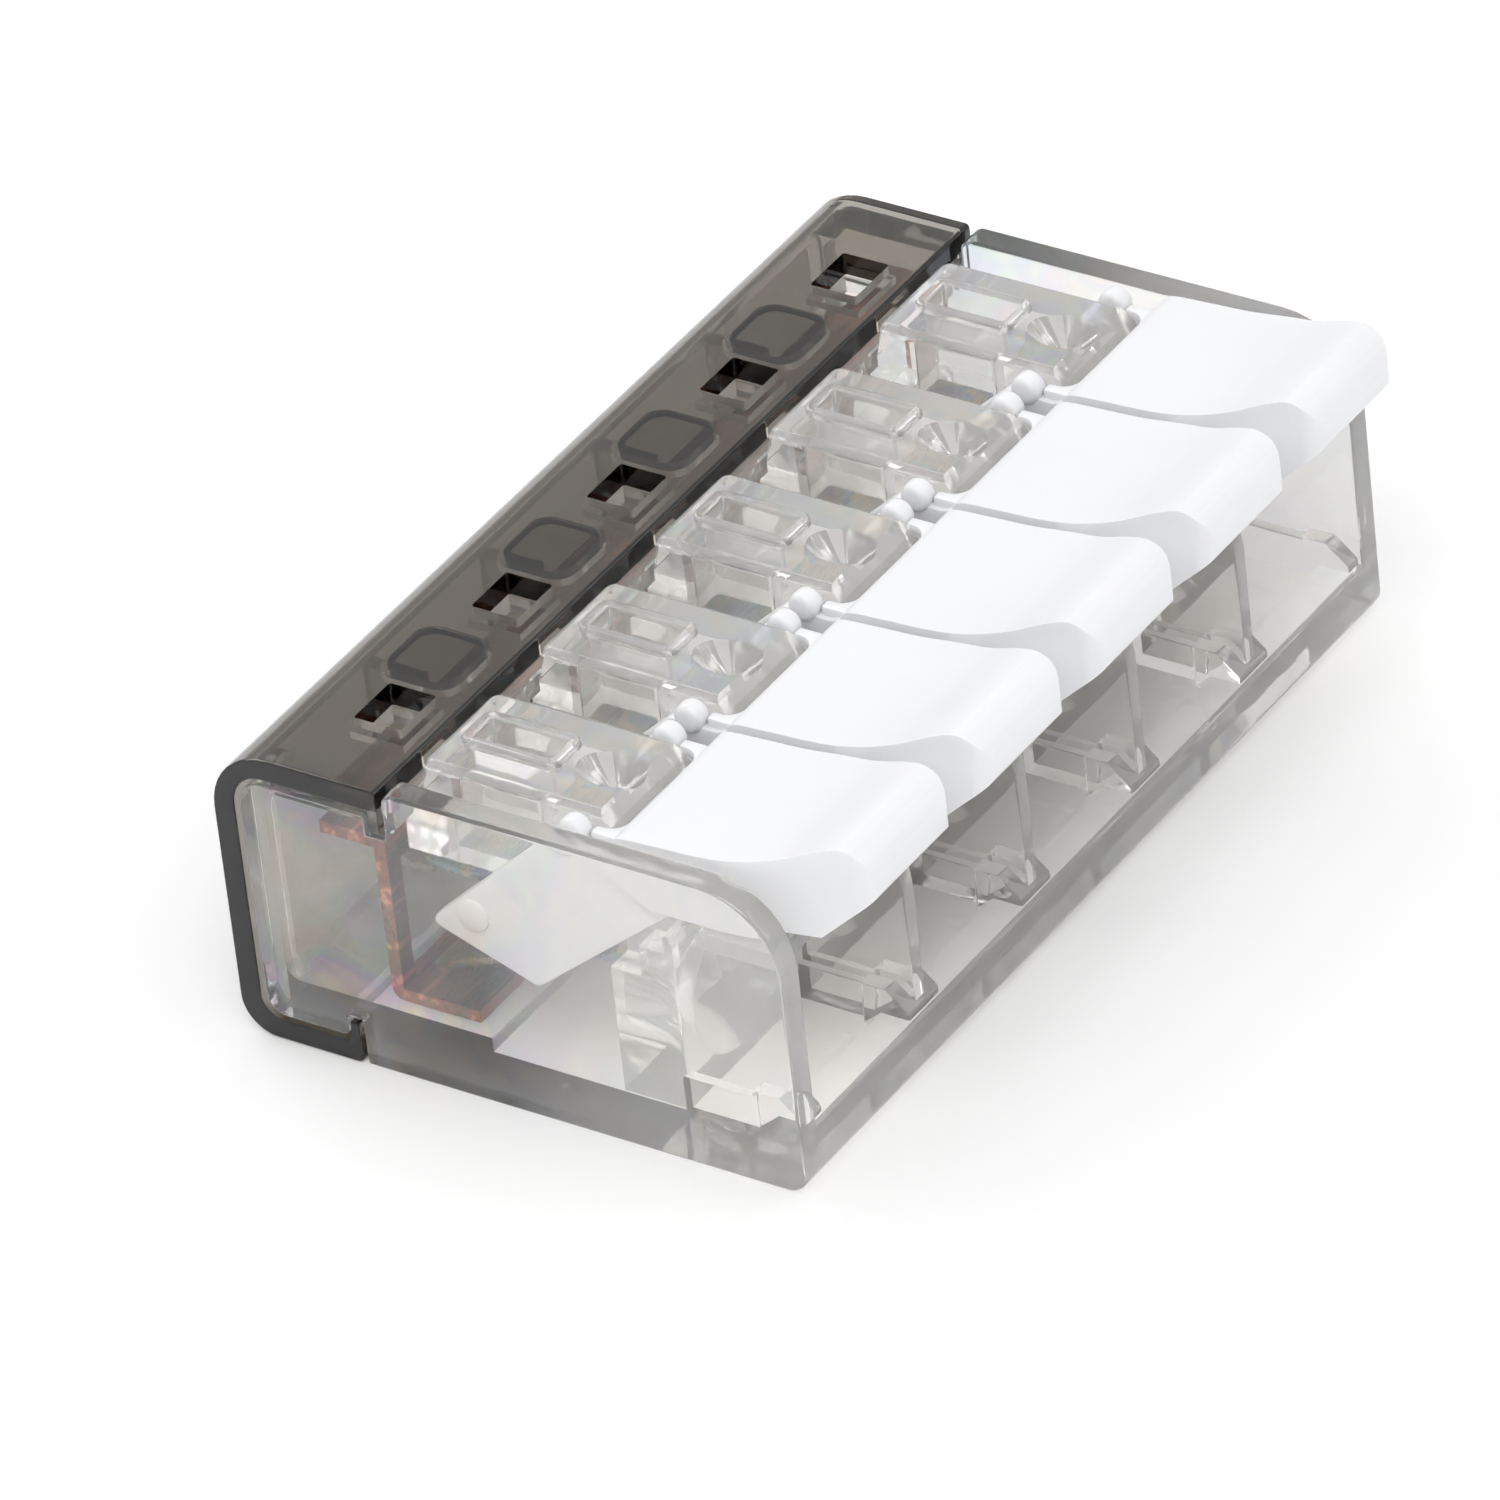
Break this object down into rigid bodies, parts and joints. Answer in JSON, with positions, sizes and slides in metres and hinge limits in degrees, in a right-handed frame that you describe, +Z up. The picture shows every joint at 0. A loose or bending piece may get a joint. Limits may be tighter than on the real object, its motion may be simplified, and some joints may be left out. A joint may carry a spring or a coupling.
{
  "type": "lever wire connector",
  "caption": "Compact lever wire connector: clear housing with a smoke rear cap, white hand levers, clamping springs and a shared copper busbar.",
  "frame": {"origin": "centre of the housing's flat bottom face", "axes": "+X across the poles, -Y the side that the wires enter, +Z up away from the bottom face"},
  "size_m": [0.03, 0.02, 0.0106],
  "materials": {
    "clear_polycarbonate": "clear moulded plastic, glossy, faint warm grey",
    "smoke_polycarbonate": "smoke-grey translucent moulded plastic, glossy",
    "white_lever": "opaque white moulded plastic, soft gloss",
    "copper_busbar": "bright bare copper strip",
    "spring_steel": "bright spring steel strip"
  },
  "bodies": {
    "root": {"housing": "clear_polycarbonate", "rear_cap": "smoke_polycarbonate", "busbar": "copper_busbar", "spring_1": "spring_steel", "spring_2": "spring_steel", "spring_3": "spring_steel", "spring_4": "spring_steel", "spring_5": "spring_steel"},
    "lever_1": {"lever_1": "white_lever"},
    "tongue_1": {"spring_tongue_1": "spring_steel"},
    "lever_2": {"lever_2": "white_lever"},
    "tongue_2": {"spring_tongue_2": "spring_steel"},
    "lever_3": {"lever_3": "white_lever"},
    "tongue_3": {"spring_tongue_3": "spring_steel"},
    "lever_4": {"lever_4": "white_lever"},
    "tongue_4": {"spring_tongue_4": "spring_steel"},
    "lever_5": {"lever_5": "white_lever"},
    "tongue_5": {"spring_tongue_5": "spring_steel"}
  },
  "joints": [
    {"name": "lever_1_hinge", "type": "hinge", "parent": "root", "child": "lever_1", "pos_m": [-0.0114, 0.0013, 0.0056], "axis": [-1, 0, 0], "range_deg": [0, 70]},
    {"name": "tongue_1_bend", "type": "hinge", "parent": "root", "child": "tongue_1", "pos_m": [-0.0114, -0.002, 0.00535], "axis": [1, 0, 0], "range_deg": [0, 22]},
    {"name": "lever_2_hinge", "type": "hinge", "parent": "root", "child": "lever_2", "pos_m": [-0.0057, 0.0013, 0.0056], "axis": [-1, 0, 0], "range_deg": [0, 70]},
    {"name": "tongue_2_bend", "type": "hinge", "parent": "root", "child": "tongue_2", "pos_m": [-0.0057, -0.002, 0.00535], "axis": [1, 0, 0], "range_deg": [0, 22]},
    {"name": "lever_3_hinge", "type": "hinge", "parent": "root", "child": "lever_3", "pos_m": [0, 0.0013, 0.0056], "axis": [-1, 0, 0], "range_deg": [0, 70]},
    {"name": "tongue_3_bend", "type": "hinge", "parent": "root", "child": "tongue_3", "pos_m": [0, -0.002, 0.00535], "axis": [1, 0, 0], "range_deg": [0, 22]},
    {"name": "lever_4_hinge", "type": "hinge", "parent": "root", "child": "lever_4", "pos_m": [0.0057, 0.0013, 0.0056], "axis": [-1, 0, 0], "range_deg": [0, 70]},
    {"name": "tongue_4_bend", "type": "hinge", "parent": "root", "child": "tongue_4", "pos_m": [0.0057, -0.002, 0.00535], "axis": [1, 0, 0], "range_deg": [0, 22]},
    {"name": "lever_5_hinge", "type": "hinge", "parent": "root", "child": "lever_5", "pos_m": [0.0114, 0.0013, 0.0056], "axis": [-1, 0, 0], "range_deg": [0, 70]},
    {"name": "tongue_5_bend", "type": "hinge", "parent": "root", "child": "tongue_5", "pos_m": [0.0114, -0.002, 0.00535], "axis": [1, 0, 0], "range_deg": [0, 22]}
  ],
  "couplings": [
    {"joint": "tongue_1_bend", "follows": "lever_1_hinge", "ratio": 0.31},
    {"joint": "tongue_2_bend", "follows": "lever_2_hinge", "ratio": 0.31},
    {"joint": "tongue_3_bend", "follows": "lever_3_hinge", "ratio": 0.31},
    {"joint": "tongue_4_bend", "follows": "lever_4_hinge", "ratio": 0.31},
    {"joint": "tongue_5_bend", "follows": "lever_5_hinge", "ratio": 0.31}
  ]
}
